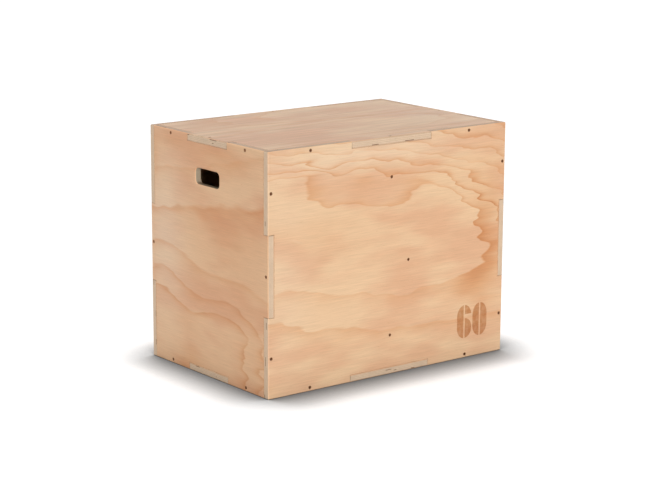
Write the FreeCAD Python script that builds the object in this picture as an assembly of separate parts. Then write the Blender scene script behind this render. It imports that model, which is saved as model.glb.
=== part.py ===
import FreeCAD, Part
import os

# Plyo box: six plywood panels with finger joints, screwed together round a half-lapped brace.
# Sizes are in millimetres. The part is drawn about the centre of the box and then set on the floor:
# origin in the middle of the floor face, +X along the length, +Y to the back, +Z up.

# Box: its three sizes are the three heights it can stand at
LENGTH = 750.0
DEPTH = 500.0
HEIGHT = 600.0

# Plywood panels
PLY = 18.0
FINGER_SHARE = 1 / 3        # middle finger's share of an edge
FINGER_GAP = 0.4            # at each flank of a finger
EDGE_ROUND = 3.0            # roundover along the edges of the box
ARRIS = 0.6                 # eased edge round each finger

# Hand hole, one in each end panel
HAND_HOLE_LENGTH = 100.0
HAND_HOLE_HEIGHT = 40.0
HAND_HOLE_CORNER = 12.0
HAND_HOLE_ROUND = 3.5       # roundover of its rims
HAND_HOLE_DROP = 100.0      # from the top of the box to its centre

# Brace inside the box
BRACE_PLY = 18.0
CROSS_BRACE_WING = 96.0     # reach of the cross brace each side of the upright
CROSS_BRACE_LEVEL = 285.0   # from the floor to its mid-plane
LAP_GAP = 0.3               # round each lap of the two braces

# Countersunk wood screws
SCREW_LENGTH = 40.0
HEAD_RADIUS = 4.0
HEAD_SINK = 0.5             # from the face of the panel down to the head
SHANK_RADIUS = 2.0
POINT_LENGTH = 5.0
POINT_RADIUS = 0.3
SCREW_SIDES = 8             # flats round a screw and its holes
SCREW_GAP = 0.15            # between a screw and its hole

# Every cutting shape runs this far past what it cuts
OVERRUN = 2.0

X, Y, Z = range(3)
HALF = (LENGTH / 2, DEPTH / 2, HEIGHT / 2)

# The panels of the first axis keep the corners of the box, then those of the second
CORNER_ORDER = (Y, X, Z)

SIDES = {
    "front": (Y, -1),
    "back": (Y, 1),
    "left": (X, -1),
    "right": (X, 1),
    "bottom": (Z, -1),
    "top": (Z, 1),
}
PANEL_NAMES = {
    "front": "front_panel",
    "back": "back_panel",
    "left": "left_end_panel",
    "right": "right_end_panel",
    "bottom": "bottom_panel",
    "top": "top_panel",
}


def point(places):
    """Point from its places along the axes, zero along those not given."""
    return FreeCAD.Vector(*(places.get(axis, 0) for axis in (X, Y, Z)))


def flat(corners):
    """Flat face inside a closed outline."""
    return Part.Face(Part.makePolygon(corners + corners[:1]))


def board(corners, thickness):
    """Board cut to a closed outline, with its thickness along a vector."""
    return flat(corners).extrude(thickness)


def keeps_corner(axis, other):
    """True where panels square to axis run out past those square to other."""
    return CORNER_ORDER.index(axis) < CORNER_ORDER.index(other)


def reach(axis, other):
    """Half the run of a panel square to axis, along other, without its tongues."""
    if keeps_corner(axis, other):
        return HALF[other]
    return HALF[other] - PLY


def finger(axis, other):
    """Half width and rise of the middle finger where a panel square to axis meets one square to other."""
    edge = X + Y + Z - axis - other
    half_width = HALF[edge] * FINGER_SHARE
    if keeps_corner(axis, other):
        return half_width + FINGER_GAP / 2, -PLY
    return half_width - FINGER_GAP / 2, PLY


def finger_middle(axis, edge):
    """Middle of a panel's outer fingers along an edge, measured from the centre of the edge."""
    return (HALF[edge] * FINGER_SHARE + reach(axis, edge)) / 2


def panel_blank(axis, side):
    """Panel square to an axis, with a notch or a tongue in the middle of each of its four edges."""
    u, v = (other for other in (X, Y, Z) if other != axis)
    reach_u, reach_v = reach(axis, u), reach(axis, v)
    half_width_v, rise_u = finger(axis, u)
    half_width_u, rise_v = finger(axis, v)
    quarter = [
        (reach_u + rise_u, half_width_v),
        (reach_u, half_width_v),
        (reach_u, reach_v),
        (half_width_u, reach_v),
        (half_width_u, reach_v + rise_v),
    ]
    corners = []
    for sign_u, sign_v in ((1, 1), (-1, 1), (-1, -1), (1, -1)):
        ordered = quarter if sign_u == sign_v else quarter[::-1]
        for place_u, place_v in ordered:
            corners.append(point({axis: side * HALF[axis], u: sign_u * place_u, v: sign_v * place_v}))
    return board(corners, point({axis: -side * PLY}))


def outer_planes(edge):
    """How many of the box's six faces an edge lies in."""
    bounds = edge.BoundBox
    lows = (bounds.XMin, bounds.YMin, bounds.ZMin)
    highs = (bounds.XMax, bounds.YMax, bounds.ZMax)
    planes = 0
    for axis in (X, Y, Z):
        for place in (-HALF[axis], HALF[axis]):
            planes += abs(lows[axis] - place) < ARRIS / 2 and abs(highs[axis] - place) < ARRIS / 2
    return planes


def rounded_box():
    """Outer form of the whole box, with its twelve edges rounded over."""
    corner = FreeCAD.Vector(*(-half for half in HALF))
    box = Part.makeBox(LENGTH, DEPTH, HEIGHT, corner)
    return box.makeFillet(EDGE_ROUND, box.Edges)


def panel(axis, side):
    """Finished panel without its holes: eased round the fingers and rounded at the edges of the box."""
    blank = panel_blank(axis, side)
    finger_edges = [edge for edge in blank.Edges if outer_planes(edge) == 1]
    return blank.makeChamfer(ARRIS, finger_edges).common(rounded_box())


def hand_hole(side):
    """Cutter for a hand hole: a rounded rectangle right through the end panel."""
    depth = PLY + 2 * OVERRUN
    centre = FreeCAD.Vector(side * (HALF[X] - PLY / 2), 0, HALF[Z] - HAND_HOLE_DROP)
    corner = centre - FreeCAD.Vector(depth, HAND_HOLE_LENGTH, HAND_HOLE_HEIGHT) / 2
    blank = Part.makeBox(depth, HAND_HOLE_LENGTH, HAND_HOLE_HEIGHT, corner)
    corner_edges = [edge for edge in blank.Edges if edge.BoundBox.XLength > depth / 2]
    return blank.makeFillet(HAND_HOLE_CORNER, corner_edges)


def end_panel(side):
    """End panel with its hand hole, rounded over at both rims."""
    cutter = hand_hole(side)
    pierced = panel(X, side).cut(cutter)
    rims = []
    for edge in pierced.Edges:
        inside = cutter.BoundBox.isInside(edge.BoundBox)
        if inside and edge.BoundBox.XLength < PLY / 2:
            rims.append(edge)
    return pierced.makeFillet(HAND_HOLE_ROUND, rims)


def upright_brace():
    """Upright board on the centre line, slotted from the front edge to half its depth."""
    half_depth = HALF[Y] - PLY
    half_height = HALF[Z] - PLY
    level = CROSS_BRACE_LEVEL - HALF[Z]
    half_slot = BRACE_PLY / 2 + LAP_GAP
    outline = [
        (-half_depth, -half_height),
        (half_depth, -half_height),
        (half_depth, half_height),
        (-half_depth, half_height),
        (-half_depth, level + half_slot),
        (LAP_GAP, level + half_slot),
        (LAP_GAP, level - half_slot),
        (-half_depth, level - half_slot),
    ]
    corners = [point({X: -BRACE_PLY / 2, Y: y, Z: z}) for y, z in outline]
    return board(corners, point({X: BRACE_PLY}))


def cross_brace():
    """Level board across the upright, slotted from the back edge to half its depth."""
    half_depth = HALF[Y] - PLY
    half_width = BRACE_PLY / 2 + CROSS_BRACE_WING
    half_slot = BRACE_PLY / 2 + LAP_GAP
    outline = [
        (-half_width, -half_depth),
        (half_width, -half_depth),
        (half_width, half_depth),
        (half_slot, half_depth),
        (half_slot, -LAP_GAP),
        (-half_slot, -LAP_GAP),
        (-half_slot, half_depth),
        (-half_width, half_depth),
    ]
    underside = CROSS_BRACE_LEVEL - HALF[Z] - BRACE_PLY / 2
    corners = [point({X: x, Y: y, Z: underside}) for x, y in outline]
    return board(corners, point({Z: BRACE_PLY}))


def ring(radius, depth):
    """Corners of the regular outline of a screw or its hole, square to Z."""
    start = FreeCAD.Vector(radius, 0, depth)
    upright = FreeCAD.Vector(0, 0, 1)
    turns = [FreeCAD.Rotation(upright, side * 360 / SCREW_SIDES) for side in range(SCREW_SIDES)]
    return [turn.multVec(start) for turn in turns]


def tapered(*sections):
    """Solid with flat flanks through rings of a radius and a depth each, down +Z."""
    rings = [ring(radius, depth) for radius, depth in sections]
    faces = [flat(rings[0][::-1]), flat(rings[-1])]
    for upper, lower in zip(rings, rings[1:]):
        for side in range(SCREW_SIDES):
            before = side - 1
            faces.append(flat([upper[before], upper[side], lower[side], lower[before]]))
    return Part.Solid(Part.Shell(faces))


def screw():
    """Countersunk wood screw, drawn down +Z from the face of the panel that it holds."""
    tip = HEAD_SINK + SCREW_LENGTH
    return tapered(
        (HEAD_RADIUS, HEAD_SINK),
        (SHANK_RADIUS, HEAD_SINK + HEAD_RADIUS - SHANK_RADIUS),
        (SHANK_RADIUS, tip - POINT_LENGTH),
        (POINT_RADIUS, tip),
    )


def clearance_hole():
    """Cutter for the panel that a screw goes through: its countersink and the hole for its shank."""
    hole_radius = SHANK_RADIUS + SCREW_GAP
    cone_bottom = HEAD_SINK + HEAD_RADIUS - SHANK_RADIUS
    return tapered(
        (hole_radius + cone_bottom + OVERRUN, -OVERRUN),
        (hole_radius, cone_bottom),
        (hole_radius, PLY + OVERRUN),
    )


def pilot_hole():
    """Cutter for the piece that a screw bites into."""
    hole_radius = SHANK_RADIUS + SCREW_GAP
    bottom = HEAD_SINK + SCREW_LENGTH + SCREW_GAP
    return tapered((hole_radius, PLY - OVERRUN), (hole_radius, bottom))


def joint_screws(keeper, tongued):
    """Screws of one edge of the box: through the keeper's two fingers and the other panel's tongue.

    Each is given as the panel it goes through, the one it bites into, its seat and its direction.
    """
    axis, side = SIDES[keeper]
    other, other_side = SIDES[tongued]
    edge = X + Y + Z - axis - other
    middle = finger_middle(axis, edge)
    into_keeper = point({axis: -side})
    into_tongue = point({other: -other_side})
    screws = []
    for place in (-middle, middle):
        seat = point({axis: side * HALF[axis], other: other_side * (HALF[other] - PLY / 2), edge: place})
        screws.append((PANEL_NAMES[keeper], PANEL_NAMES[tongued], seat, into_keeper))
    seat = point({axis: side * (HALF[axis] - PLY / 2), other: other_side * HALF[other]})
    screws.append((PANEL_NAMES[tongued], PANEL_NAMES[keeper], seat, into_tongue))
    return screws


def brace_screws(keeper):
    """Screws through the front or back panel: two into the upright brace and one into the cross brace."""
    axis, side = SIDES[keeper]
    panel_name = PANEL_NAMES[keeper]
    inward = point({axis: -side})
    middle = finger_middle(axis, Z)
    screws = []
    for height in (-middle, middle):
        screws.append((panel_name, "upright_brace", point({Y: side * HALF[Y], Z: height}), inward))
    wing_middle = (BRACE_PLY + CROSS_BRACE_WING) / 2
    seat = point({X: -side * wing_middle, Y: side * HALF[Y], Z: CROSS_BRACE_LEVEL - HALF[Z]})
    screws.append((panel_name, "cross_brace", seat, inward))
    return screws


def all_screws():
    """Screws of every joint, by the name of their group."""
    groups = {}
    for keeper, (axis, _) in SIDES.items():
        for tongued, (other, _) in SIDES.items():
            if axis != other and keeps_corner(axis, other):
                groups[f"{keeper}_{tongued}_screws"] = joint_screws(keeper, tongued)
    for keeper in ("front", "back"):
        groups[f"{keeper}_brace_screws"] = brace_screws(keeper)
    return groups


def boards():
    """The eight boards, by name, before their screw holes are drilled."""
    pieces = {"upright_brace": upright_brace(), "cross_brace": cross_brace()}
    for name, (axis, side) in SIDES.items():
        pieces[PANEL_NAMES[name]] = end_panel(side) if axis == X else panel(axis, side)
    return pieces


def placed(shape, seat, direction):
    """Copy of a shape drawn down +Z, moved to a seat and turned to a direction."""
    turn = FreeCAD.Rotation(FreeCAD.Vector(0, 0, 1), direction)
    copy = shape.copy()
    copy.Placement = FreeCAD.Placement(seat, turn)
    return copy


def assembly():
    """Every piece by the name of its node: the drilled boards and the groups of screws."""
    pieces = boards()
    holes = {name: [] for name in pieces}
    groups = all_screws()
    for name, screws in groups.items():
        solids = []
        for through, into, seat, direction in screws:
            solids.append(placed(screw(), seat, direction))
            holes[through].append(placed(clearance_hole(), seat, direction))
            holes[into].append(placed(pilot_hole(), seat, direction))
        pieces[name] = Part.makeCompound(solids)
    for name, cutters in holes.items():
        pieces[name] = pieces[name].cut(cutters)
    return pieces


os.makedirs("parts", exist_ok=True)
for node, shape in assembly().items():
    on_floor = shape.translated(FreeCAD.Vector(0, 0, HALF[Z]))
    on_floor.exportStep(f"parts/{node}.step")
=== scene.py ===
import math
from functools import reduce
from typing import NamedTuple

import bmesh
import bpy
from bpy.props import FloatProperty, FloatVectorProperty, IntProperty, PointerProperty
from bpy.types import Operator, Panel, PropertyGroup
from mathutils import Matrix, Vector


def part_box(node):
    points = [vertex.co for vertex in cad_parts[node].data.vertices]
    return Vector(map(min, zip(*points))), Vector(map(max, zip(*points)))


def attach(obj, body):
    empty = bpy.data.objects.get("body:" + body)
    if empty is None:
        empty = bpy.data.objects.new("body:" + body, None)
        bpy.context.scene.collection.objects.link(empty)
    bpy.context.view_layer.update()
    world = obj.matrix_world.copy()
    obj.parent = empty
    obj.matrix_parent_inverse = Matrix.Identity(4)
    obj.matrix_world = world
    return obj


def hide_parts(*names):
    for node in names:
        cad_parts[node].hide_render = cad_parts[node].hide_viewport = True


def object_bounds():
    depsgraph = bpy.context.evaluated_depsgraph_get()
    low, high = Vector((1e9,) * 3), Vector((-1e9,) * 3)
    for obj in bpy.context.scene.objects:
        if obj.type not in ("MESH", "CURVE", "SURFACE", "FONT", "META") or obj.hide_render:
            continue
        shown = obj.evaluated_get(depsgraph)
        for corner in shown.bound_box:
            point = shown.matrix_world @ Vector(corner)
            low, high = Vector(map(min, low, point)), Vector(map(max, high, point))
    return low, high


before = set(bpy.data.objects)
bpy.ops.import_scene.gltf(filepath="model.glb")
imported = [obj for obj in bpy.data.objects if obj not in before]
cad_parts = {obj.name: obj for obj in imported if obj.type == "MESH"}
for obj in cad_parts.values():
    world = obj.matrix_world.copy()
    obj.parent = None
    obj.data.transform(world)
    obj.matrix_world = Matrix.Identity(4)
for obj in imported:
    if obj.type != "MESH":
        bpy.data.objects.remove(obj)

# Plyo box: veneer, ply edges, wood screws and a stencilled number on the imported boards.
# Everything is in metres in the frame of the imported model: origin in the middle of the floor face,
# +X along the length, +Y to the back, +Z up.

bl_info = {
    "name": "Plyo box",
    "version": (1, 0, 0),
    "blender": (4, 5, 0),
    "location": "View3D > Sidebar > Plyo box",
    "description": "Finishes the packed plywood jump box and sets it in a plain studio",
    "category": "Object",
}

CAD_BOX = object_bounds()
CENTRE = (CAD_BOX[0] + CAD_BOX[1]) / 2
FRONT = CAD_BOX[0].y
BODY = "root"

PANELS = (
    "front_panel",
    "back_panel",
    "left_end_panel",
    "right_end_panel",
    "top_panel",
    "bottom_panel",
)
BRACES = ("upright_brace", "cross_brace")
SCREW_NODES = sorted(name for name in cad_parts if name.endswith("_screws"))

# Numbers of the Mix node's colour sockets, which share their names with others
MIX_FIRST, MIX_SECOND, MIX_RESULT = 6, 7, 2

# Rays that round an arris and shade the floor
ARRIS_SAMPLES = 8
SHADE_SAMPLES = 16

# Camera's film, in millimetres, and how far it sees, in metres
FILM_WIDTH = 36.0
SIGHT = 200.0

# Corners of a stencilled oval
OVAL_CORNERS = 64

# Distance, in metres, within which two points of a packed screw are one
SAME_POINT = 1e-6


class Climb(NamedTuple):
    """What a value becomes: start up to low, end from high on, and a smooth climb between them."""

    low: float
    high: float
    start: float = 0.0
    end: float = 1.0


class Marking(NamedTuple):
    """Noise that marks wood or metal."""

    run: float  # size along the grain, in metres
    spread: float  # size across it, in metres
    layers: float  # how many finer layers it has
    climb: Climb = Climb(0.0, 1.0)  # what the noise becomes


# Markings that bend the growth rings and break them
FINGERS = Marking(0.300, 0.034, 2.0)
WANDER = Marking(0.140, 0.080, 2.0)
RIPPLES = Marking(0.060, 0.012, 2.0)
PATCHES = Marking(0.160, 0.050, 1.0, Climb(0.2, 0.6))

# Markings of the face veneer
BLOTCHES = Marking(0.220, 0.080, 2.0, Climb(0.36, 0.64))
STREAKS = Marking(0.250, 0.005, 2.0, Climb(0.25, 0.75))
FIBRES = Marking(0.050, 0.0012, 3.0, Climb(0.2, 0.8, 0.91, 1.06))
FLECKS = Marking(0.010, 0.0007, 1.0, Climb(0.72, 0.78, 0.0, 0.45))
SOAKING = Marking(0.012, 0.012, 3.0, Climb(0.3, 0.7, 0.70, 1.0))

# Markings of the edges and corners of a board
PORES = Marking(0.0008, 0.0008, 2.0, Climb(0.2, 0.8, 0.80, 1.12))
PLY_STREAKS = Marking(0.020, 0.020, 3.0, Climb(0.2, 0.8, 0.88, 1.06))
CORE_GAPS = Marking(0.045, 0.045, 0.0, Climb(0.74, 0.75))
RUBBING = Marking(0.030, 0.012, 3.0, Climb(0.3, 0.7, 0.2, 0.6))
# Dust and painted shade in the seams between boards
SEAM_DUST_AND_SHADE = RUBBING._replace(climb=Climb(0.3, 0.7, 0.9, 0.2))

# Markings of the screws
COATING_WEAR = Marking(0.0012, 0.0012, 4.0, Climb(0.55, 0.75, 0.0, 0.6))
SCRATCHES = Marking(0.0003, 0.0015, 2.0, Climb(0.2, 0.8, 0.38, 0.60))

# How growth rings are drawn
ISLAND_POWER = 3.0  # two would make an island an ellipse, and more makes it squarer
ISLAND_MERGING = 0.3  # how softly the rings of two islands run together
SWELL_CROWDING = 2.0  # how much a swell of one ring crowds the rings
RING_FADE = 8.0  # how fast a ring fades outwards where there is one to a width
CROWDED_FADE = 4.0  # and at least, where rings are crowded
RIPPLE = 0.010  # how far ripples move a ring across the grain, in metres
RING_CHANCE = Climb(0.0, 1.0, 0.65, 1.0)  # a ring's strength, by chance
ISLAND_RINGS = Climb(-0.7, 0.1, 0.45, 1.0)  # strength of rings inside an island, by their height
UPPER_SIDE = Climb(-1.0, 0.2)  # climb to full strength, by the place across an island, edge at one
LINE_POWER = 4.0  # how narrow the dark line of a ring is
LINE_STRENGTH = 0.7

# How plies, corners and seams are drawn
FACE_SHARE = 0.9  # share of a face ply that still shows as face at an arris
GLUE_LINE = Climb(0.44, 0.49, 0.0, 0.8)  # by the distance from the middle of a ply, in plies
FACING_UP = Climb(0.5, 0.9)  # by the upward part of the normal
RUBBED_TURN = Climb(0.02, 0.25)  # by how far the eased normal turns from the face's own
# Dust and painted shade in seams, by how far the eased normal turns
DUST_AND_SHADE_TURN = Climb(0.004, 0.05)
SEAM_EDGE = 3.0  # arrises from a corner, or past a joint, to where dust and painted shade are full, or gone

# What late wood and fibres add to the roughness, and the height of rings over that of fibres
LATE_ROUGHNESS = -0.08
FIBRE_ROUGHNESS = 0.10
RING_RELIEF = 0.4


class Island(NamedTuple):
    """Flat wood that growth rings run round, in metres from the centre of the box."""

    along: float  # along the grain
    across: float  # across it
    length: float  # half its length along the grain
    width: float  # half its width across the grain
    slope: float = 0.0  # tilt of its sides
    lean: float = 0.0  # tilt of its ends


class Swell(NamedTuple):
    """Soft round patch of a veneer, placed as an island is."""

    along: float
    across: float
    length: float
    width: float
    rise: float  # rings that it lifts the wood by, or strength of its colour


class Figure(NamedTuple):
    """Growth rings and colour of one board's face veneers."""

    islands: tuple
    swells: tuple = ()  # lift the rings
    flushes: tuple = ()  # colour the wood off the islands
    pale: tuple = ()  # bleach it
    ruddy: tuple = ()  # redden it
    turned: bool = False  # whether the grain runs along the board's shorter side
    above: float = 4.0  # rings within one width of an island, on its upper side
    below: float = 4.0  # and on its lower side
    inside: float = 1.0  # and inside it
    wander: float = 0.05  # how far the rings stray, in metres
    fingers: float = 0.10  # how far they reach along the grain, in metres
    strength: float = 0.8  # how strongly they show
    lower: float = 0.8  # share of that on the lower side
    broken: float = 0.45  # share of that where they are broken
    calm: float = 0.05  # how much weaker each ring is than the one before
    softness: float = 0.06  # share of a ring over which it begins
    streaks: float = 0.02  # share by which long streaks are lighter or darker
    tint: tuple = (1.0, 1.0, 1.0)  # what the whole veneer's tone lets through
    seed: float = 0.0  # shift of the noise, in metres


# The two ends are cut from one redder sheet
END_TINT = (0.985, 0.935, 0.915)

FIGURES = {
    "front_panel": Figure(
        islands=(Island(-0.300, 0.080, 0.575, 0.155, -0.07, -0.45),),
        swells=(
            Swell(0.000, 0.165, 0.060, 0.045, 0.7),
            Swell(-0.165, 0.165, 0.180, 0.035, 0.7),
            Swell(-0.175, 0.240, 0.050, 0.070, 1.0),
            Swell(-0.375, -0.160, 0.140, 0.140, 0.5),
        ),
        flushes=(
            Swell(0.320, 0.020, 0.060, 0.140, 0.45),
            Swell(0.265, -0.105, 0.075, 0.055, 0.45),
        ),
        pale=(
            Swell(-0.330, 0.000, 0.080, 0.220, 0.20),
            Swell(-0.100, 0.265, 0.300, 0.040, 0.40),
        ),
        above=10.0,
        below=2.4,
        fingers=0.14,
        strength=0.95,
        lower=0.6,
        seed=1.0,
    ),
    "back_panel": Figure(
        islands=(Island(0.240, -0.060, 0.520, 0.120, 0.06), Island(-0.420, 0.120, 0.300, 0.080)),
        above=5.0,
        below=3.4,
        seed=2.0,
    ),
    "left_end_panel": Figure(
        islands=(Island(0.000, 0.335, 0.900, 0.200, -0.20),),
        swells=(
            Swell(-0.060, -0.170, 0.160, 0.090, 2.6),
            Swell(-0.060, -0.300, 0.160, 0.090, 2.2),
            Swell(0.210, -0.170, 0.130, 0.147, 2.7),
            Swell(0.210, -0.330, 0.130, 0.100, 1.2),
        ),
        flushes=(
            Swell(-0.080, 0.080, 0.150, 0.090, 0.25),
            Swell(-0.180, 0.000, 0.120, 0.350, 0.12),
        ),
        pale=(Swell(0.190, 0.040, 0.090, 0.200, 0.65),),
        ruddy=(
            Swell(0.160, 0.272, 0.080, 0.022, 0.25),
            Swell(0.240, 0.230, 0.030, 0.060, 0.35),
            Swell(-0.060, 0.255, 0.110, 0.040, 0.32),
        ),
        turned=True,
        below=1.2,
        inside=2.0,
        strength=1.0,
        lower=1.0,
        broken=0.25,
        softness=0.10,
        tint=END_TINT,
        seed=3.0,
    ),
    "right_end_panel": Figure(
        islands=(
            Island(0.040, -0.120, 0.280, 0.110, -0.10),
            Island(-0.120, 0.240, 0.220, 0.090, 0.15),
        ),
        flushes=(Swell(0.100, 0.080, 0.200, 0.120, 0.25),),
        turned=True,
        above=3.8,
        below=3.8,
        strength=1.0,
        broken=0.20,
        calm=0.20,
        softness=0.15,
        tint=END_TINT,
        seed=4.0,
    ),
    "top_panel": Figure(
        islands=(Island(-0.120, -0.090, 0.420, 0.090, 0.04), Island(0.350, 0.160, 0.420, 0.080)),
        pale=(Swell(0.320, 0.000, 0.100, 0.250, 0.25),),
        above=3.6,
        below=3.0,
        strength=0.65,
        streaks=0.14,
        # Darker, greyer top: painted shade of the top face
        tint=(0.82, 0.85, 0.93),
        seed=5.0,
    ),
    "bottom_panel": Figure(islands=(Island(0.150, 0.050, 0.500, 0.110, -0.05),), seed=6.0),
    "upright_brace": Figure(islands=(Island(0.0, 0.080, 0.300, 0.080),), seed=7.0),
    "cross_brace": Figure(islands=(Island(0.0, 0.020, 0.200, 0.050),), seed=8.0),
}


def colour(name, description, default):
    """Colour property, as linear red, green and blue."""
    return FloatVectorProperty(
        name=name, description=description, default=default, subtype="COLOR", min=0.0, max=1.0
    )


def length(name, description, default):
    """Length property, in metres."""
    return FloatProperty(
        name=name, description=description, default=default, min=0.0, precision=5, unit="LENGTH"
    )


def share(name, description, default):
    """Property from nothing to one."""
    return FloatProperty(
        name=name, description=description, default=default, min=0.0, max=1.0, subtype="FACTOR"
    )


def level(name, description, default):
    """Property from nothing upwards."""
    return FloatProperty(name=name, description=description, default=default, min=0.0)


def angle(name, description, degrees):
    """Angle property, given in degrees."""
    return FloatProperty(
        name=name, description=description, default=math.radians(degrees), unit="ROTATION"
    )


def direction(name, description, default):
    """Property of a direction from the box."""
    return FloatVectorProperty(
        name=name, description=description, default=default, subtype="DIRECTION"
    )


class PlyoBoxVeneer(PropertyGroup):
    """Plywood of the boards"""

    plies: IntProperty(name="Plies", description="Plies in a board", default=9, min=3)
    yellow: colour("Yellow wood", "Pale early wood, on its yellow side", (0.800, 0.542, 0.328))
    pink: colour("Pink wood", "Pale early wood, on its pink side", (0.730, 0.428, 0.252))
    late: colour("Late wood", "Orange wood just outside a growth ring", (0.640, 0.270, 0.095))
    ring: colour("Ring line", "Darkest line of a growth ring", (0.460, 0.160, 0.050))
    long_ply: colour("Long ply", "Edge of a ply cut along its grain", (0.730, 0.545, 0.385))
    end_ply: colour("End ply", "Edge of a ply cut across its grain", (0.655, 0.470, 0.315))
    glue: colour("Glue line", "Glue between two plies", (0.500, 0.350, 0.230))
    # Darkens the edges of plies that face up
    upward_darkening: colour("Upward darkening", "What dirt lets through of edges that face up", (0.680, 0.610, 0.580))
    # Darkens a hand hole's walls: grease, and painted shade inside the hole
    grease_and_shade: colour("Grease and shade", "What grease lets through of a hand hole's walls", (0.620, 0.680, 0.690))
    rubbed: colour("Rubbed wood", "Bare wood at a rubbed corner", (0.850, 0.680, 0.500))
    # Dark of seams and core gaps: dust, and painted shade in them
    seam: colour("Seam", "Dust and shade in seams and core gaps", (0.220, 0.120, 0.060))
    arris: length("Arris", "Radius that a board's corners are eased to", 0.0012)
    roughness: share("Roughness", "Roughness of the clear satin seal", 0.5)
    gloss: share("Gloss", "Specular level of the seal", 0.4)
    relief: length("Relief", "Height of the grain", 0.0003)
    relief_strength: share("Relief strength", "How strongly the grain shows in the light", 0.25)


class PlyoBoxScrews(PropertyGroup):
    """Wood screws"""

    metal: colour("Metal", "Dark bronze coating", (0.200, 0.090, 0.045))
    worn: colour("Worn metal", "Bare metal where the coating is thin", (0.360, 0.220, 0.140))
    glint: colour("Glint", "What the coating reflects when seen almost edge on", (0.20, 0.13, 0.10))
    scratch: length("Scratch", "Depth of the scratches", 0.0001)
    scratch_strength: share("Scratch strength", "How strongly they show in the light", 0.2)
    rim: length("Rim", "Height of the upright rim round the head", 0.0002)
    arm_width: length("Arm width", "Width of an arm of the cross recess", 0.0013)
    arm_reach: length("Arm reach", "From the axis to the end of an arm", 0.0024)
    recess: length("Recess", "Depth of the cross recess", 0.0018)
    taper: share("Taper", "Width of the recess's floor as a share of its mouth", 0.7)
    thread: share("Thread", "Radius of the thread as a share of the head's", 0.5)
    core: share("Core", "Core radius as a share of the thread's radius", 0.68)
    root: share("Root", "Radius of the thread's root as a share of the core's", 0.95)
    pitch: length("Pitch", "Rise of the thread in one turn", 0.0024)
    ridge: share("Ridge", "Half height of the thread's ridge as a share of the pitch", 0.22)
    plain: share("Plain shank", "Share of the length above the thread", 0.35)
    point: length("Point", "Length of the tapered point", 0.005)
    tip: share("Tip", "Radius of the tip as a share of the core's", 0.15)
    steps: IntProperty(name="Steps", description="Steps in a turn of the thread", default=12, min=3)


class PlyoBoxNumber(PropertyGroup):
    """Stencilled number"""

    place: FloatVectorProperty(
        name="Place",
        description="Lower left corner of the number, to the right and up from the origin",
        default=(0.222, 0.052),
        size=2,
        unit="LENGTH",
    )
    width: length("Digit width", "Width of one digit", 0.0485)
    height: length("Digit height", "Height of a digit", 0.087)
    crown: length("Crown", "Height of the rounded end of a digit", 0.030)
    bowl: share("Bowl", "Height of the six's bowl as a share of the digit's", 0.60)
    bowl_crown: share("Bowl crown", "Height of the bowl's rounded end as a share of the crown", 0.8)
    hook: share("Hook", "Rise of the six's hook above the middle as a share of the height", 0.22)
    slit: length("Slit", "Width of the bridges of the stencil", 0.0045)
    gap: length("Gap", "Between the two digits", 0.004)
    film: length("Film", "How far the stain stands proud of the face", 0.00008)
    stain: colour("Stain", "What the stain lets through of the wood", (0.660, 0.460, 0.295))
    gloss: share("Gloss", "Specular level of the stain", 0.3)


class PlyoBoxStage(PropertyGroup):
    """Floor, light and camera"""

    floor: colour("Floor", "Plain pale floor", (0.600, 0.600, 0.600))
    floor_reach: length("Floor reach", "From the middle of the floor to its sides", 60.0)
    glow: share("Floor glow", "White that the camera sees on the floor besides its light", 0.58)
    # Reach and power of the painted contact shadow on the floor
    shade: length("Contact shade", "Reach of the shade on the floor round the box", 0.13)
    shade_power: level("Shade power", "Power that deepens the contact shade", 2.4)
    ambient: share("Ambient", "Even light from all round", 0.3)
    key: level("Key light", "Level of the light from the front", 0.69)
    key_from: direction("Key from", "Direction to the front light", (-0.34, -0.93, 0.14))
    key_spread: angle("Key spread", "Spread of the front light", 16.0)
    side: level("Side light", "Level of the light from the left", 0.16)
    side_from: direction("Side from", "Direction to the side light", (-0.95, 0.20, 0.20))
    back: level("Back light", "Level of the light from behind", 0.40)
    back_from: direction("Back from", "Direction to the back light", (0.62, 0.77, 0.12))
    top: level("Top light", "Level of the light from above", 0.41)
    top_from: direction("Top from", "Direction to the top light", (-0.03, 0.20, 0.979))
    top_spread: angle("Top spread", "Spread of the top light", 12.0)
    spread: angle("Spread", "Spread of the side light and the back light", 20.0)
    camera: FloatVectorProperty(
        name="Camera", description="Place of the camera", default=(-3.114, -3.992, 1.416), unit="LENGTH"
    )
    yaw: angle("Yaw", "Camera's turn to the right of +Y", 38.10)
    pitch: angle("Pitch", "Camera's tilt down", 12.74)
    roll: angle("Roll", "Camera's lean", 0.33)
    lens: FloatProperty(name="Lens", description="Focal length", default=109.36, unit="CAMERA")


class PlyoBoxSettings(PropertyGroup):
    """Everything that a user would change"""

    veneer: PointerProperty(type=PlyoBoxVeneer)
    screws: PointerProperty(type=PlyoBoxScrews)
    number: PointerProperty(type=PlyoBoxNumber)
    stage: PointerProperty(type=PlyoBoxStage)


def give(tree, socket, value):
    """Links a socket to another node's, or sets it to a number, a vector or a colour."""
    if isinstance(value, bpy.types.NodeSocket):
        tree.links.new(value, socket)
    elif socket.type == "RGBA":
        socket.default_value = (*value, 1.0)
    else:
        socket.default_value = value


def add(tree, kind, inputs=None, **settings):
    """New shader node with its settings made and its inputs given by name or number."""
    node = tree.nodes.new("ShaderNode" + kind)
    for name, value in settings.items():
        setattr(node, name, value)
    for name, value in (inputs or {}).items():
        give(tree, node.inputs[name], value)
    return node


def calc(tree, operation, *values):
    """Result of a Math node."""
    return add(tree, "Math", dict(enumerate(values)), operation=operation).outputs[0]


def product(tree, *values):
    """Two or more values multiplied."""
    return reduce(lambda first, second: calc(tree, "MULTIPLY", first, second), values)


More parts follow.
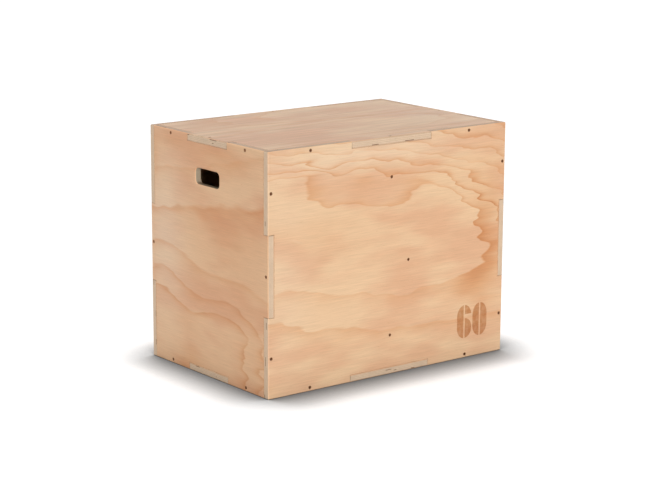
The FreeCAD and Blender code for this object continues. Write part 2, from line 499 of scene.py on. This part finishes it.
def vector_calc(tree, operation, *vectors):
    """Result of a Vector Math node, as a vector."""
    return add(tree, "VectorMath", dict(enumerate(vectors)), operation=operation).outputs[0]


def blend(tree, amount, first, second, kind="MIX"):
    """Two colours mixed by an amount."""
    inputs = {0: amount, MIX_FIRST: first, MIX_SECOND: second}
    return add(tree, "Mix", inputs, data_type="RGBA", blend_type=kind).outputs[MIX_RESULT]


def tinted(tree, wood, tint):
    """A colour multiplied by another one or by a value."""
    return blend(tree, 1.0, wood, tint, "MULTIPLY")


def ease(tree, value, climb):
    """What a value becomes by a climb."""
    inputs = {
        "Value": value,
        "From Min": climb.low,
        "From Max": climb.high,
        "To Min": climb.start,
        "To Max": climb.end,
    }
    return add(tree, "MapRange", inputs, interpolation_type="SMOOTHSTEP").outputs[0]


def noise(tree, place, marking):
    """Noise from nothing to one, in the size of a marking."""
    stretch = (1 / marking.run, 1 / marking.spread, 1 / marking.spread)
    stretched = vector_calc(tree, "MULTIPLY", place, stretch)
    inputs = {"Vector": stretched, "Scale": 1.0, "Detail": marking.layers}
    return add(tree, "TexNoise", inputs).outputs[0]


def marked(tree, place, marking):
    """What the noise of a marking becomes."""
    return ease(tree, noise(tree, place, marking), marking.climb)


def new_material(name):
    """Empty node material and its tree."""
    material = bpy.data.materials.new(name)
    material.use_nodes = True
    material.node_tree.nodes.clear()
    return material, material.node_tree


def close(tree, shader):
    """Links a shader to the material's output."""
    add(tree, "OutputMaterial", {"Surface": shader.outputs[0]})


def board_thickness(node):
    """Thickness of a packed board."""
    low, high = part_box(node)
    return min(high - low)


def from_centre(tree):
    """Place from the centre of the box."""
    place = add(tree, "TexCoord").outputs["Object"]
    return vector_calc(tree, "SUBTRACT", place, CENTRE)


def board_place(tree, node):
    """Place along a board's grain and across it, from the centre of the box, and depth under its face."""
    low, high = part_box(node)
    size = high - low
    through, shorter, longer = sorted(range(3), key=lambda axis: size[axis])
    along, across = (shorter, longer) if FIGURES[node].turned else (longer, shorter)
    face = max(abs(low[through] - CENTRE[through]), abs(high[through] - CENTRE[through]))
    axes = add(tree, "SeparateXYZ", {0: from_centre(tree)}).outputs
    depth = calc(tree, "SUBTRACT", face, calc(tree, "ABSOLUTE", axes[through]))
    return axes[along], axes[across], depth


def island_reach(tree, along, across, island):
    """Distance from an island's centre, one at its edge, and how far across it a place lies."""
    run = calc(tree, "SUBTRACT", along, island.along)
    spread = calc(tree, "SUBTRACT", across, island.across)
    tilted = calc(tree, "SUBTRACT", spread, product(tree, run, island.slope))
    leant = calc(tree, "SUBTRACT", run, product(tree, spread, island.lean))
    run_share = calc(tree, "ABSOLUTE", calc(tree, "DIVIDE", leant, island.length))
    across_share = calc(tree, "DIVIDE", tilted, island.width)
    run_power = calc(tree, "POWER", run_share, ISLAND_POWER)
    across_power = calc(tree, "POWER", calc(tree, "ABSOLUTE", across_share), ISLAND_POWER)
    total = calc(tree, "ADD", run_power, across_power)
    return calc(tree, "POWER", total, 1 / ISLAND_POWER), across_share


def swell_rise(tree, along, across, swell):
    """How far a swell rises at a place."""
    run = calc(tree, "DIVIDE", calc(tree, "SUBTRACT", along, swell.along), swell.length)
    spread = calc(tree, "DIVIDE", calc(tree, "SUBTRACT", across, swell.across), swell.width)
    square = calc(tree, "MULTIPLY_ADD", run, run, product(tree, spread, spread))
    fall = calc(tree, "EXPONENT", product(tree, square, -1.0))
    return product(tree, fall, swell.rise)


def wandered(tree, value, grain, marking, amount):
    """A place moved to and fro by the noise of a marking."""
    drift = calc(tree, "SUBTRACT", noise(tree, grain, marking), 0.5)
    return calc(tree, "MULTIPLY_ADD", drift, amount, value)


def ring_height(tree, along, across, figure):
    """Height of the wood, with a ring at each whole number, the rings' crowding, and place across them."""
    reach, across_share = island_reach(tree, along, across, figure.islands[0])
    for island in figure.islands[1:]:
        other_reach, _ = island_reach(tree, along, across, island)
        reach = calc(tree, "SMOOTH_MIN", reach, other_reach, ISLAND_MERGING)
    beyond = calc(tree, "SUBTRACT", reach, 1.0)
    near = calc(tree, "EXPONENT", product(tree, calc(tree, "MAXIMUM", beyond, 0.0), -1.0))
    outside = calc(tree, "SUBTRACT", 1.0, near)
    inside = product(tree, calc(tree, "MINIMUM", beyond, 0.0), figure.inside)
    rings = ease(tree, across_share, Climb(-1.0, 1.0, figure.below, figure.above))
    height = calc(tree, "MULTIPLY_ADD", outside, rings, inside)
    crowding = product(tree, near, rings)
    for swell in figure.swells:
        lift = swell_rise(tree, along, across, swell)
        height = calc(tree, "ADD", height, lift)
        crowding = calc(tree, "MULTIPLY_ADD", lift, SWELL_CROWDING, crowding)
    return height, crowding, across_share


def ring_strength(tree, height, across_share, grain, figure):
    """How strongly the rings show at a place."""
    faint = figure.broken * figure.strength
    whole = marked(tree, grain, PATCHES)
    unbroken = calc(tree, "MULTIPLY_ADD", whole, figure.strength - faint, faint)
    upper = ease(tree, across_share, UPPER_SIDE._replace(start=figure.lower))
    beyond = calc(tree, "MAXIMUM", height, 0.0)
    calmed = calc(tree, "EXPONENT", product(tree, beyond, -figure.calm))
    return product(tree, unbroken, upper, calmed, ease(tree, height, ISLAND_RINGS))


def ring_tone(tree, along, across, grain, figure):
    """How dark the growth rings are: abrupt at a ring's line, then fading outwards."""
    along = wandered(tree, along, grain, WANDER, figure.wander)
    along = wandered(tree, along, grain, FINGERS, figure.fingers)
    across = wandered(tree, across, grain, WANDER, figure.wander)
    across = wandered(tree, across, grain, RIPPLES, RIPPLE)
    height, crowding, across_share = ring_height(tree, along, across, figure)
    from_line = calc(tree, "FRACT", height)
    climb = ease(tree, from_line, Climb(0.0, figure.softness))
    steepness = calc(tree, "MINIMUM", calc(tree, "DIVIDE", -RING_FADE, crowding), -CROWDED_FADE)
    fade = calc(tree, "EXPONENT", product(tree, from_line, steepness))
    number = calc(tree, "ADD", calc(tree, "FLOOR", height), figure.seed)
    chance = add(tree, "TexWhiteNoise", {"W": number}, noise_dimensions="1D").outputs["Value"]
    strength = ring_strength(tree, height, across_share, grain, figure)
    tone = product(tree, climb, fade, ease(tree, chance, RING_CHANCE), strength)
    off_islands = ease(tree, height, Climb(0.0, figure.softness))
    for flush in figure.flushes:
        rise = swell_rise(tree, along, across, flush)
        tone = calc(tree, "MULTIPLY_ADD", rise, off_islands, tone)
    return calc(tree, "MINIMUM", tone, 1.0)


def face_colour(tree, along, across, grain, tone, figure, veneer):
    """Colour of a face veneer: pale wood, late wood, ring lines, streaks, fibres and resin flecks."""
    wood = blend(tree, marked(tree, grain, BLOTCHES), veneer.yellow, veneer.pink)
    for patch in figure.pale:
        wood = blend(tree, swell_rise(tree, along, across, patch), wood, veneer.rubbed)
    for patch in figure.ruddy:
        wood = blend(tree, swell_rise(tree, along, across, patch), wood, veneer.late)
    wood = blend(tree, tone, wood, veneer.late)
    line = product(tree, calc(tree, "POWER", tone, LINE_POWER), LINE_STRENGTH)
    wood = blend(tree, line, wood, veneer.ring)
    dark = marked(tree, grain, STREAKS)
    wood = tinted(tree, wood, calc(tree, "MULTIPLY_ADD", dark, -2 * figure.streaks, 1 + figure.streaks))
    wood = tinted(tree, wood, marked(tree, grain, FIBRES))
    wood = blend(tree, marked(tree, grain, FLECKS), wood, veneer.ring)
    return tinted(tree, wood, figure.tint)


def ply_colour(tree, along, across, ply, grain, figure, veneer):
    """Colour of a board's edge: plies by turns along and across the grain, glue, core gaps, and darker
    where it faces up.
    """
    layer = calc(tree, "FLOOR", ply)
    across_grain = calc(tree, "MODULO", layer, 2.0)
    end_ply = tinted(tree, veneer.end_ply, marked(tree, grain, PORES))
    long_ply = tinted(tree, veneer.long_ply, marked(tree, grain, PLY_STREAKS))
    wood = blend(tree, across_grain, long_ply, end_ply)

    from_middle = calc(tree, "ABSOLUTE", calc(tree, "SUBTRACT", calc(tree, "FRACT", ply), 0.5))
    wood = blend(tree, ease(tree, from_middle, GLUE_LINE), wood, veneer.glue)

    own_layer = calc(tree, "ADD", layer, figure.seed * veneer.plies)
    in_layer = add(tree, "CombineXYZ", {0: along, 1: across, 2: own_layer}).outputs[0]
    # Core gaps in the cross plies, in the seam colour: dust and painted shade in the voids
    gap = product(tree, marked(tree, in_layer, CORE_GAPS), across_grain)
    wood = blend(tree, gap, wood, veneer.seam)

    # Darker where the edge faces up
    normal = add(tree, "NewGeometry").outputs["True Normal"]
    upward = add(tree, "SeparateXYZ", {0: normal}).outputs["Z"]
    return blend(tree, ease(tree, upward, FACING_UP), wood, tinted(tree, wood, veneer.upward_darkening))


def inset(tree):
    """How far a place on the box's faces lies from the nearest long corner of the box."""
    spread = vector_calc(tree, "ABSOLUTE", from_centre(tree))
    margin = vector_calc(tree, "SUBTRACT", CAD_BOX[1] - CENTRE, spread)
    x, y, z = add(tree, "SeparateXYZ", {0: margin}).outputs
    nearer = calc(tree, "MINIMUM", x, y)
    farther = calc(tree, "MAXIMUM", x, y)
    return calc(tree, "MAXIMUM", nearer, calc(tree, "MINIMUM", farther, z))


def corner_wear_and_seam_shade(tree, wood, grain, thickness, veneer):
    """Wood rubbed pale at the box's corners, dust and painted shade in its seams, and a normal that eases
    them.
    """
    eased = add(tree, "Bevel", {"Radius": veneer.arris}, samples=ARRIS_SAMPLES).outputs[0]
    flat = add(tree, "NewGeometry").outputs["True Normal"]
    match = add(tree, "VectorMath", {0: eased, 1: flat}, operation="DOT_PRODUCT").outputs["Value"]
    turn = calc(tree, "SUBTRACT", 1.0, match)
    rubbing = product(tree, ease(tree, turn, RUBBED_TURN), marked(tree, grain, RUBBING))
    rubbed = blend(tree, rubbing, wood, veneer.rubbed)
    # Seams darkened where the eased normal turns a little: dust, and painted shade in the groove
    dust_and_shade = product(tree, ease(tree, turn, DUST_AND_SHADE_TURN), marked(tree, grain, SEAM_DUST_AND_SHADE))
    dusty_and_shaded = blend(tree, dust_and_shade, wood, veneer.seam)

    near, far = veneer.arris, SEAM_EDGE * veneer.arris
    from_corner = inset(tree)
    off_corner = ease(tree, from_corner, Climb(near, far))
    in_joint = ease(tree, from_corner, Climb(thickness + near, thickness + far, 1.0, 0.0))
    return blend(tree, product(tree, off_corner, in_joint), rubbed, dusty_and_shaded), eased


def veneer_wood(tree, node, veneer):
    """Colour and roughness of a board's faces and edges, its bump node, and place in its grain."""
    figure = FIGURES[node]
    along, across, depth = board_place(tree, node)
    shifted = calc(tree, "ADD", depth, figure.seed)
    grain = add(tree, "CombineXYZ", {0: along, 1: across, 2: shifted}).outputs[0]
    tone = ring_tone(tree, along, across, grain, figure)
    face = face_colour(tree, along, across, grain, tone, figure, veneer)

    thickness = board_thickness(node)
    ply = product(tree, depth, veneer.plies / thickness)
    under_face = calc(tree, "GREATER_THAN", ply, FACE_SHARE)
    over_back = calc(tree, "LESS_THAN", ply, veneer.plies - FACE_SHARE)
    edge = ply_colour(tree, along, across, ply, grain, figure, veneer)
    # Edges away from the corners of the box are the walls of a hand hole, or a brace's and never seen.
    # They are darkened by grease and by painted shade inside the hole
    away_from_corners = ease(tree, inset(tree), Climb(thickness, 2 * thickness))
    edge = blend(tree, away_from_corners, edge, tinted(tree, edge, veneer.grease_and_shade))
    wood = blend(tree, product(tree, under_face, over_back), face, edge)

    fibre = noise(tree, grain, FIBRES)
    late_roughness = calc(tree, "MULTIPLY_ADD", tone, LATE_ROUGHNESS, veneer.roughness)
    roughness = calc(tree, "MULTIPLY_ADD", fibre, FIBRE_ROUGHNESS, late_roughness)
    relief = calc(tree, "MULTIPLY_ADD", tone, RING_RELIEF, fibre)
    inputs = {"Strength": veneer.relief_strength, "Distance": veneer.relief, "Height": relief}
    return wood, roughness, add(tree, "Bump", inputs), grain


def board_material(node, veneer):
    """Sealed plywood of one board, with its corners worn."""
    material, tree = new_material(node + "_plywood")
    wood, roughness, bump, grain = veneer_wood(tree, node, veneer)
    # Worn colour: rubbed corners, and dust and painted shade in the seams
    worn, eased = corner_wear_and_seam_shade(tree, wood, grain, board_thickness(node), veneer)
    give(tree, bump.inputs["Normal"], eased)
    inputs = {
        "Base Color": worn,
        "Roughness": roughness,
        "Normal": bump.outputs[0],
        "Specular IOR Level": veneer.gloss,
    }
    close(tree, add(tree, "BsdfPrincipled", inputs))
    return material


def stain_material(number, veneer):
    """Brown stain that soaks unevenly into the front veneer and lets its grain show."""
    material, tree = new_material("number_stain")
    wood, roughness, bump, grain = veneer_wood(tree, "front_panel", veneer)
    inputs = {
        "Base Color": blend(tree, marked(tree, grain, SOAKING), wood, tinted(tree, wood, number.stain)),
        "Roughness": roughness,
        "Normal": bump.outputs[0],
        "Specular IOR Level": number.gloss,
    }
    close(tree, add(tree, "BsdfPrincipled", inputs))
    return material


def screw_material(screws):
    """Dark bronze coating, scratched, and worn thin in places."""
    material, tree = new_material("screw_bronze")
    place = add(tree, "TexCoord").outputs["Object"]
    relief = {
        "Strength": screws.scratch_strength,
        "Distance": screws.scratch,
        "Height": noise(tree, place, SCRATCHES),
    }
    inputs = {
        "Base Color": blend(tree, marked(tree, place, COATING_WEAR), screws.metal, screws.worn),
        "Metallic": 1.0,
        "Specular Tint": screws.glint,
        "Roughness": marked(tree, place, SCRATCHES),
        "Normal": add(tree, "Bump", relief).outputs[0],
    }
    close(tree, add(tree, "BsdfPrincipled", inputs))
    return material


def finish_board(node, veneer):
    """Gives a packed board its plywood."""
    material = board_material(node, veneer)
    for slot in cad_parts[node].material_slots:
        slot.material = material


def new_piece(name, bm, material):
    """Object of a finished bmesh, riding on the box."""
    mesh = bpy.data.meshes.new(name)
    bm.to_mesh(mesh)
    bm.free()
    mesh.materials.append(material)
    piece = bpy.data.objects.new(name, mesh)
    bpy.context.scene.collection.objects.link(piece)
    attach(piece, BODY)
    return piece


def add_part(target, part):
    """Moves all of one bmesh into another."""
    mesh = bpy.data.meshes.new("part")
    part.to_mesh(mesh)
    part.free()
    target.from_mesh(mesh)
    bpy.data.meshes.remove(mesh)


def new_verts(result):
    """Vertices that a bmesh operator has made."""
    return [item for item in result["geom"] if isinstance(item, bmesh.types.BMVert)]


def open_edges(bm):
    """Edges round the open end of a bmesh."""
    return [edge for edge in bm.edges if edge.is_boundary]


class ScrewSeat(NamedTuple):
    """Where a packed screw sits."""

    head: Vector  # middle of the head's face
    drive: Vector  # direction it is driven in
    length: float
    radius: float  # of the head


def screw_seat(points):
    """Seat of one screw: its long axis is the one that its points spread along most."""
    low = Vector([min(values) for values in zip(*points)])
    high = Vector([max(values) for values in zip(*points)])
    size = high - low
    axis = max(range(3), key=lambda number: size[number])
    middle = (low + high) / 2
    drive = Vector((0.0, 0.0, 0.0))
    drive[axis] = -1.0 if middle[axis] > CENTRE[axis] else 1.0
    head = middle - drive * size[axis] / 2
    return ScrewSeat(head, drive, size[axis], min(size) / 2)


def linked_verts(first):
    """A vertex and all those that edges link it to."""
    linked = [first]
    found = {first}
    for vert in linked:
        for edge in vert.link_edges:
            other = edge.other_vert(vert)
            if other not in found:
                found.add(other)
                linked.append(other)
    return linked


def screw_seats(node):
    """Seats of all the screws of a packed group, each a loose piece of its mesh."""
    bm = bmesh.new()
    bm.from_mesh(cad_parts[node].data)
    bmesh.ops.remove_doubles(bm, verts=bm.verts, dist=SAME_POINT)
    seated = set()
    seats = []
    for vert in bm.verts:
        if vert not in seated:
            screw = linked_verts(vert)
            seated.update(screw)
            seats.append(screw_seat([point.co for point in screw]))
    bm.free()
    return seats


def screw_head(bm, radius, screws):
    """Round head, flat on top at Z zero, with a cross recess."""
    # The lines of this grid stand at 1, 3 and 5 fifths of its size, each way from the middle
    fifths = 5
    bmesh.ops.create_grid(bm, x_segments=fifths, y_segments=fifths, size=1.0)
    arm_half = screws.arm_width / 2
    places = {1: arm_half, 3: screws.arm_reach}
    for vert in bm.verts:
        lines = [round(value * fifths) for value in vert.co.xy]
        if fifths in map(abs, lines):
            vert.co = vert.co.normalized() * radius
        else:
            vert.co.xy = [math.copysign(places[abs(line)], line) for line in lines]
    recess = []
    for face in bm.faces:
        across, along = sorted(abs(value) for value in face.calc_center_median().xy)
        if across < arm_half / 2 and along < screws.arm_reach:
            recess.append(face)
    floor = new_verts(bmesh.ops.extrude_face_region(bm, geom=recess))
    bmesh.ops.delete(bm, geom=recess, context="FACES")
    bmesh.ops.translate(bm, verts=floor, vec=(0.0, 0.0, -screws.recess))
    bmesh.ops.scale(bm, verts=floor, vec=(screws.taper, screws.taper, 1.0))


def screw_shank(bm, seat, core, screws):
    """Rim, countersunk cone, core and point of a screw, drawn down from its head."""
    neck = screws.rim + seat.radius - core
    rings = (
        (seat.radius, -screws.rim),
        (core, -neck),
        (core, screws.point - seat.length),
        (core * screws.tip, -seat.length),
    )
    width, depth = seat.radius, 0.0
    for ring_width, ring_depth in rings:
        verts = new_verts(bmesh.ops.extrude_edge_only(bm, edges=open_edges(bm)))
        taper = ring_width / width
        bmesh.ops.scale(bm, verts=verts, vec=(taper, taper, 1.0))
        bmesh.ops.translate(bm, verts=verts, vec=(0.0, 0.0, ring_depth - depth))
        width, depth = ring_width, ring_depth
    bmesh.ops.holes_fill(bm, edges=open_edges(bm), sides=0)


def screw_thread(bm, seat, core, thread_radius, screws):
    """Thread of a screw: a ridge wound round the lower part of its core."""
    top = -seat.length * screws.plain
    turns = int((seat.length - screws.point + top) / screws.pitch)
    half = screws.pitch * screws.ridge
    root = core * screws.root
    corners = ((root, 0.0, top + half), (thread_radius, 0.0, top), (root, 0.0, top - half))
    ridge = bm.faces.new([bm.verts.new(corner) for corner in corners])
    bmesh.ops.spin(
        bm,
        geom=[ridge],
        cent=(0.0, 0.0, 0.0),
        axis=(0.0, 0.0, 1.0),
        dvec=(0.0, 0.0, -screws.pitch / screws.steps),
        angle=2 * math.pi * turns,
        steps=turns * screws.steps,
        use_duplicate=False,
    )


def wood_screw(seat, screws):
    """One screw, driven into its seat."""
    bm = bmesh.new()
    thread_radius = seat.radius * screws.thread
    core = thread_radius * screws.core
    screw_head(bm, seat.radius, screws)
    screw_shank(bm, seat, core, screws)
    screw_thread(bm, seat, core, thread_radius, screws)
    bmesh.ops.recalc_face_normals(bm, faces=bm.faces)
    turn = (-seat.drive).to_track_quat("Z", "Y").to_matrix().to_4x4()
    bmesh.ops.transform(bm, matrix=Matrix.Translation(seat.head) @ turn, verts=bm.verts)
    return bm


def screw_group(node, material, screws):
    """Detailed screws in place of a packed group of them."""
    bm = bmesh.new()
    for seat in screw_seats(node):
        add_part(bm, wood_screw(seat, screws))
    piece = new_piece(node.replace("_screws", "_wood_screws"), bm, material)
    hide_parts(node)


def stencil_part(width, height, crown, cuts, centre):
    """Upright oval with straight flanks, cut by planes of a point and the direction that is cut away."""
    bm = bmesh.new()
    bmesh.ops.create_circle(bm, cap_ends=True, segments=OVAL_CORNERS, radius=1.0)
    bmesh.ops.scale(bm, verts=bm.verts, vec=(width / 2, crown, 1.0))
    for vert in bm.verts:
        vert.co.y += math.copysign(height / 2 - crown, vert.co.y)
    for place, away in cuts:
        geom = [*bm.verts, *bm.edges, *bm.faces]
        bmesh.ops.bisect_plane(bm, geom=geom, plane_co=place, plane_no=away, clear_outer=True)
    bmesh.ops.translate(bm, verts=bm.verts, vec=(*centre, 0.0))
    return bm


def stencil_digits(number):
    """Flat outlines of a six and a nought, with the bridges of a stencil."""
    left_half = ((-number.slit / 2, 0.0, 0.0), (1.0, 0.0, 0.0))
    right_half = ((number.slit / 2, 0.0, 0.0), (-1.0, 0.0, 0.0))
    hook_only = ((0.0, number.height * number.hook, 0.0), (0.0, -1.0, 0.0))
    whole = (number.width, number.height, number.crown)
    bowl_height = number.height * number.bowl
    bowl = (number.width, bowl_height, number.crown * number.bowl_crown)
    six = (number.width / 2, number.height / 2)
    six_bowl = (number.width / 2, bowl_height / 2)
    nought = (number.width * 3 / 2 + number.gap, number.height / 2)
    parts = (
        (whole, [left_half], six),
        (bowl, [right_half], six_bowl),
        (whole, [right_half, hook_only], six),
        (whole, [left_half], nought),
        (whole, [right_half], nought),
    )
    bm = bmesh.new()
    for oval, cuts, centre in parts:
        add_part(bm, stencil_part(*oval, cuts, centre))
    return bm


def build_number(number, veneer):
    """Stencilled number on the front: thin films of stain, half sunk in the face."""
    bm = stencil_digits(number)
    verts = new_verts(bmesh.ops.extrude_face_region(bm, geom=bm.faces[:]))
    bmesh.ops.translate(bm, verts=verts, vec=(0.0, 0.0, 2 * number.film))
    bmesh.ops.recalc_face_normals(bm, faces=bm.faces)
    upright = Matrix.Rotation(math.pi / 2, 4, "X")
    corner = Vector((number.place[0], FRONT + number.film, number.place[1]))
    bmesh.ops.transform(bm, matrix=Matrix.Translation(corner) @ upright, verts=bm.verts)
    new_piece("front_number", bm, stain_material(number, veneer))


def shown_plainly(tree):
    """One for the rays that show the backdrop itself: the camera's, and those in gloss and glass."""
    path = add(tree, "LightPath").outputs
    seen = calc(tree, "MAXIMUM", path["Is Camera Ray"], path["Is Glossy Ray"])
    return calc(tree, "MAXIMUM", seen, path["Is Transmission Ray"])


def floor_material(stage):
    """Pale matt floor that keeps the shadow, with some white of its own to the camera, both darkened round
    the box as a painted contact shadow.
    """
    material, tree = new_material("studio_floor")
    inputs = {"Distance": stage.shade}
    # Ambient occlusion darkens the floor's colour and white: painted contact shadow
    open_sky = add(tree, "AmbientOcclusion", inputs, samples=SHADE_SAMPLES).outputs["AO"]
    light = calc(tree, "POWER", open_sky, stage.shade_power)
    matt = add(tree, "BsdfDiffuse", {"Color": blend(tree, light, (0.0, 0.0, 0.0), stage.floor)})
    glow = product(tree, shown_plainly(tree), stage.glow, light)
    white = add(tree, "Emission", {"Strength": glow})
    close(tree, add(tree, "AddShader", {0: matt.outputs[0], 1: white.outputs[0]}))
    return material


def build_floor(stage):
    """Wide floor under the box."""
    bm = bmesh.new()
    bmesh.ops.create_grid(bm, x_segments=1, y_segments=1, size=stage.floor_reach)
    mesh = bpy.data.meshes.new("studio_floor")
    bm.to_mesh(mesh)
    bm.free()
    mesh.materials.append(floor_material(stage))
    floor = bpy.data.objects.new("studio_floor", mesh)
    bpy.context.scene.collection.objects.link(floor)


def build_world(stage):
    """Even light from all round, white behind the floor."""
    world = bpy.data.worlds.new("studio_world")
    world.use_nodes = True
    tree = world.node_tree
    tree.nodes.clear()
    strength = ease(tree, shown_plainly(tree), Climb(0.0, 1.0, stage.ambient, 1.0))
    light = add(tree, "Background", {"Color": (1.0, 1.0, 1.0), "Strength": strength})
    add(tree, "OutputWorld", {"Surface": light.outputs[0]})
    bpy.context.scene.world = world


def build_sun(name, strength, towards, spread):
    """Soft distant lamp that gives a white surface square to it a brightness of its strength."""
    lamp = bpy.data.lights.new(name, "SUN")
    lamp.energy = strength * math.pi
    lamp.angle = spread
    light = bpy.data.objects.new(name, lamp)
    light.rotation_euler = Vector(towards).to_track_quat("Z", "Y").to_euler()
    bpy.context.scene.collection.objects.link(light)
    return light


def build_lights(stage):
    """Key light in front, and weaker ones on the left, behind and above."""
    build_sun("key_light", stage.key, stage.key_from, stage.key_spread)
    build_sun("side_light", stage.side, stage.side_from, stage.spread)
    build_sun("top_light", stage.top, stage.top_from, stage.top_spread)
    back_light = build_sun("back_light", stage.back, stage.back_from, stage.spread)
    # In the gloss of the top it would glare at the camera
    back_light.visible_glossy = False


def build_camera(stage):
    """Camera at the photograph's place."""
    data = bpy.data.cameras.new("photo_camera")
    data.sensor_width = FILM_WIDTH
    data.lens = stage.lens
    data.clip_end = SIGHT
    camera = bpy.data.objects.new("photo_camera", data)
    turn = Matrix.Rotation(-stage.yaw, 4, "Z") @ Matrix.Rotation(math.pi / 2 - stage.pitch, 4, "X")
    lean = Matrix.Rotation(stage.roll, 4, "Z")
    camera.matrix_world = Matrix.Translation(stage.camera) @ turn @ lean
    bpy.context.scene.collection.objects.link(camera)
    bpy.context.scene.camera = camera


class PLYO_BOX_OT_panels(Operator):
    """Finish the six panels with figured veneer and ply edges"""

    bl_idname = "plyo_box.panels"
    bl_label = "Finish panels"

    def execute(self, context):
        for node in PANELS:
            finish_board(node, context.scene.plyo_box.veneer)
        return {"FINISHED"}


class PLYO_BOX_OT_braces(Operator):
    """Finish the two half-lapped braces inside the box"""

    bl_idname = "plyo_box.braces"
    bl_label = "Finish braces"

    def execute(self, context):
        for node in BRACES:
            finish_board(node, context.scene.plyo_box.veneer)
        return {"FINISHED"}


class PLYO_BOX_OT_screws(Operator):
    """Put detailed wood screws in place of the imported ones"""

    bl_idname = "plyo_box.screws"
    bl_label = "Drive screws"

    def execute(self, context):
        if not SCREW_NODES:
            raise RuntimeError("The packed model has no screws")
        screws = context.scene.plyo_box.screws
        material = screw_material(screws)
        for node in SCREW_NODES:
            screw_group(node, material, screws)
        return {"FINISHED"}


class PLYO_BOX_OT_number(Operator):
    """Stencil the height in centimetres on the front"""

    bl_idname = "plyo_box.number"
    bl_label = "Stencil number"

    def execute(self, context):
        settings = context.scene.plyo_box
        build_number(settings.number, settings.veneer)
        return {"FINISHED"}


class PLYO_BOX_OT_stage(Operator):
    """Set up the floor, the light and the camera"""

    bl_idname = "plyo_box.stage"
    bl_label = "Set stage"

    def execute(self, context):
        stage = context.scene.plyo_box.stage
        build_floor(stage)
        build_world(stage)
        build_lights(stage)
        build_camera(stage)
        context.scene.view_settings.view_transform = "Standard"
        return {"FINISHED"}


STEPS = (
    PLYO_BOX_OT_panels,
    PLYO_BOX_OT_braces,
    PLYO_BOX_OT_screws,
    PLYO_BOX_OT_number,
    PLYO_BOX_OT_stage,
)


class PLYO_BOX_PT_steps(Panel):
    """Steps that finish the box"""

    bl_idname = "PLYO_BOX_PT_steps"
    bl_label = "Plyo box"
    bl_space_type = "VIEW_3D"
    bl_region_type = "UI"
    bl_category = "Plyo box"

    def draw(self, context):
        for step in STEPS:
            self.layout.operator(step.bl_idname)


SETTINGS = (PlyoBoxVeneer, PlyoBoxScrews, PlyoBoxNumber, PlyoBoxStage, PlyoBoxSettings)
CLASSES = (*SETTINGS, *STEPS, PLYO_BOX_PT_steps)


def register():
    for item in CLASSES:
        bpy.utils.register_class(item)
    bpy.types.Scene.plyo_box = PointerProperty(type=PlyoBoxSettings)


def unregister():
    del bpy.types.Scene.plyo_box
    for item in reversed(CLASSES):
        bpy.utils.unregister_class(item)


def main():
    register()
    bpy.ops.plyo_box.panels()
    bpy.ops.plyo_box.braces()
    bpy.ops.plyo_box.screws()
    bpy.ops.plyo_box.number()
    bpy.ops.plyo_box.stage()


if __name__ == "__main__":
    main()
